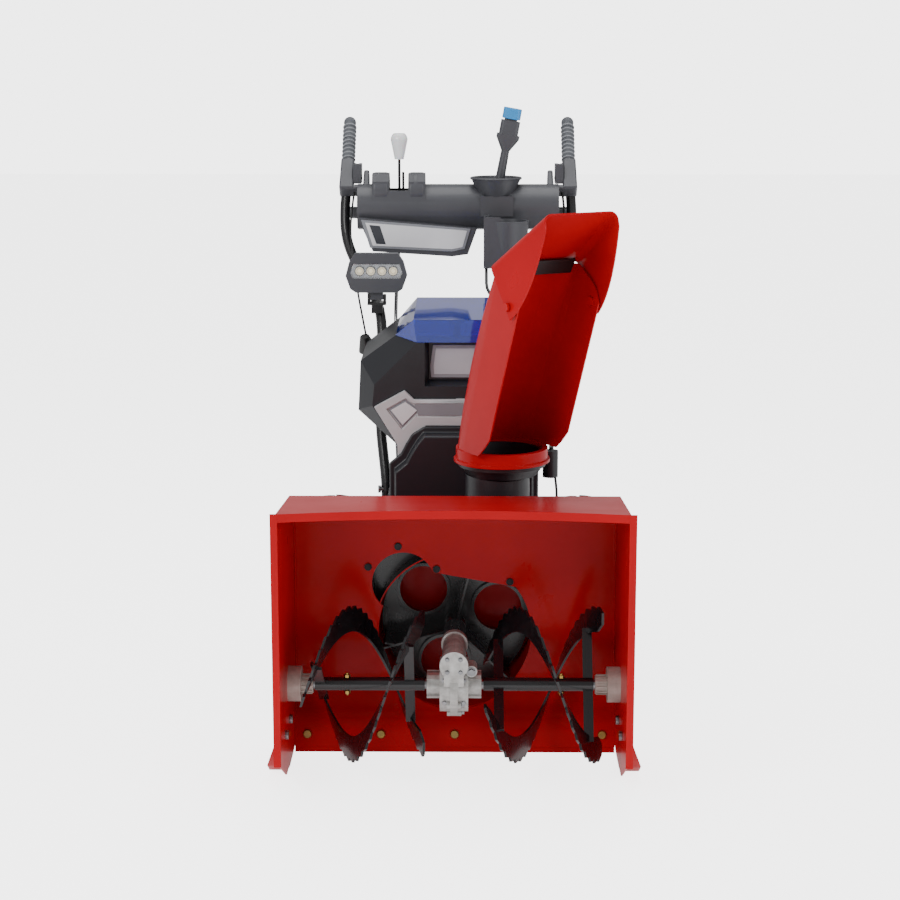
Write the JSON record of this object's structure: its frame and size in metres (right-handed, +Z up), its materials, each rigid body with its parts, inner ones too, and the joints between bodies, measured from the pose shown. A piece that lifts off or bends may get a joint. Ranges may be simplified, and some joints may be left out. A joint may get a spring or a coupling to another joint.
{
  "type": "two stage snowblower",
  "caption": "Walk-behind battery snowblower: toothed augers feed an impeller that throws snow through a turning chute with a tilting deflector.",
  "frame": {"origin": "on the ground under the centre of the bounding box", "axes": "+Z up, the auger mouth faces -Y, +X is the operator's left when they hold the grips"},
  "size_m": [0.686, 1.25, 1.1913],
  "materials": {
    "red_paint": "gloss powder coat",
    "black_paint": "semi-gloss powder coat",
    "black_plastic": "moulded",
    "grey_plastic": "moulded, fine texture",
    "silver_plastic": "satin silver",
    "blue_plastic": "tinted clear",
    "blue_cap": "gloss",
    "clear_plastic": "clear",
    "label": "printed film, plain",
    "cast_aluminium": "as cast",
    "steel": "machined",
    "zinc": "yellow zinc plate",
    "bronze": "cast bronze",
    "rubber": "matt",
    "tyre": "moulded"
  },
  "bodies": {
    "chassis": {"housing_wrap": "red_paint", "housing_side_left": "red_paint", "housing_side_right": "red_paint", "impeller_drum": "red_paint", "scraper_bar": "red_paint", "skid_shoes": "red_paint", "auger_bearings": "cast_aluminium", "bolts": "zinc", "gearbox_left": "cast_aluminium", "gearbox_right": "cast_aluminium", "chute_neck": "black_plastic", "frame": "black_paint", "axle_bearings": "steel", "motor": "cast_aluminium", "belt_cover": "black_plastic", "shroud": "black_plastic", "shroud_trim": "silver_plastic", "batteries": "black_plastic", "handlebar_left": "black_paint", "handlebar_right": "black_paint", "grips": "rubber", "lever_brackets": "grey_plastic", "console": "grey_plastic", "label_plate": "label", "chute_gearcase": "grey_plastic", "headlight_bracket": "black_paint", "traction_cable": "rubber", "auger_cable": "rubber", "chute_cable": "rubber", "speed_rod": "steel", "drive_belts": "rubber"},
    "impeller": {"impeller": "black_paint", "impeller_shaft": "steel", "impeller_pulley": "steel"},
    "augers": {"auger_shaft": "steel", "auger_left": "black_paint", "auger_right": "black_paint", "worm_wheel": "bronze", "shear_pins": "zinc"},
    "motor_rotor": {"motor_pulley": "steel"},
    "drive_disc": {"drive_disc": "cast_aluminium"},
    "hex_shaft": {"hex_shaft": "steel"},
    "friction_wheel": {"friction_wheel": "rubber"},
    "wheels": {"axle": "steel", "rims": "black_paint", "tyre_left": "tyre", "tyre_right": "tyre"},
    "chute": {"chute": "red_paint", "chute_ring": "red_paint", "chute_seal": "rubber"},
    "deflector": {"deflector": "red_paint"},
    "battery_lid": {"battery_lid": "blue_plastic"},
    "headlight": {"headlight": "grey_plastic", "headlight_lens": "clear_plastic"},
    "speed_lever": {"speed_lever": "clear_plastic"},
    "joystick_gimbal": {"joystick_gimbal": "steel"},
    "joystick": {"joystick": "grey_plastic"},
    "joystick_trigger": {"joystick_trigger": "blue_cap"},
    "traction_lever": {"traction_lever": "black_paint"},
    "auger_lever": {"auger_lever": "black_paint"}
  },
  "joints": [
    {"name": "auger_spin", "type": "hinge", "parent": "chassis", "child": "augers", "pos_m": [0, -0.455, 0.173], "axis": [1, 0, 0], "continuous": true},
    {"name": "impeller_spin", "type": "hinge", "parent": "chassis", "child": "impeller", "pos_m": [0, -0.225, 0.225], "axis": [0, 1, 0], "continuous": true},
    {"name": "motor_spin", "type": "hinge", "parent": "chassis", "child": "motor_rotor", "pos_m": [0, -0.065, 0.482], "axis": [0, 1, 0], "continuous": true},
    {"name": "disc_spin", "type": "hinge", "parent": "chassis", "child": "drive_disc", "pos_m": [0, -0.065, 0.30047], "axis": [0, 1, 0], "continuous": true},
    {"name": "wheel_spin", "type": "hinge", "parent": "chassis", "child": "wheels", "pos_m": [0, 0.075, 0.203], "axis": [1, 0, 0], "continuous": true},
    {"name": "hex_shaft_spin", "type": "hinge", "parent": "chassis", "child": "hex_shaft", "pos_m": [0, 0.005, 0.30047], "axis": [1, 0, 0], "continuous": true},
    {"name": "friction_wheel_slide", "type": "slide", "parent": "hex_shaft", "child": "friction_wheel", "axis": [1, 0, 0], "range_m": [-0.03, 0.03]},
    {"name": "speed_shift", "type": "hinge", "parent": "chassis", "child": "speed_lever", "pos_m": [-0.129, 0.46, 0.965], "axis": [1, 0, 0], "range_deg": [-18, 18]},
    {"name": "chute_turn", "type": "hinge", "parent": "chassis", "child": "chute", "pos_m": [0.089, -0.222, 0.546], "axis": [0, 0, 1], "range_deg": [-130, 70]},
    {"name": "deflector_tilt", "type": "hinge", "parent": "chute", "child": "deflector", "pos_m": [0.1775, -0.37529, 0.867], "axis": [0.866, 0.5, 0], "range_deg": [0, 50]},
    {"name": "joystick_lean", "type": "hinge", "parent": "chassis", "child": "joystick_gimbal", "pos_m": [0.083, 0.46, 0.985], "axis": [0, 1, 0], "range_deg": [-24, 14]},
    {"name": "joystick_push", "type": "hinge", "parent": "joystick_gimbal", "child": "joystick", "pos_m": [0.083, 0.46, 0.985], "axis": [0.9839, 0, -0.1788], "range_deg": [-1, 16]},
    {"name": "joystick_trigger_press", "type": "slide", "parent": "joystick", "child": "joystick_trigger", "axis": [-0.1788, 0, -0.9839], "range_m": [0, 0.003], "stiffness_N_per_m": 900, "springref_m": -0.001},
    {"name": "traction_lever_squeeze", "type": "hinge", "parent": "chassis", "child": "traction_lever", "pos_m": [-0.219, 0.498, 1.034], "axis": [1, 0, 0], "range_deg": [0, 18], "stiffness_Nm_per_rad": 3, "springref_deg": -6.88},
    {"name": "auger_lever_squeeze", "type": "hinge", "parent": "chassis", "child": "auger_lever", "pos_m": [0.219, 0.498, 1.034], "axis": [1, 0, 0], "range_deg": [0, 18], "stiffness_Nm_per_rad": 3, "springref_deg": -6.88},
    {"name": "headlight_tilt", "type": "hinge", "parent": "chassis", "child": "headlight", "pos_m": [-0.174, 0.329, 0.79], "axis": [1, 0, 0], "range_deg": [0, 25]},
    {"name": "battery_lid_open", "type": "hinge", "parent": "chassis", "child": "battery_lid", "pos_m": [0, 0.249, 0.764], "axis": [-1, 0, 0], "range_deg": [0, 75]}
  ],
  "couplings": [
    {"joint": "impeller_spin", "follows": "auger_spin", "ratio": 10},
    {"joint": "hex_shaft_spin", "follows": "wheel_spin", "ratio": -4},
    {"joint": "friction_wheel_slide", "follows": "speed_shift", "m_per_rad": 0.09},
    {"joint": "joystick_lean", "follows": "chute_turn", "ratio": 0.15},
    {"joint": "joystick_push", "follows": "deflector_tilt", "ratio": 0.3}
  ]
}
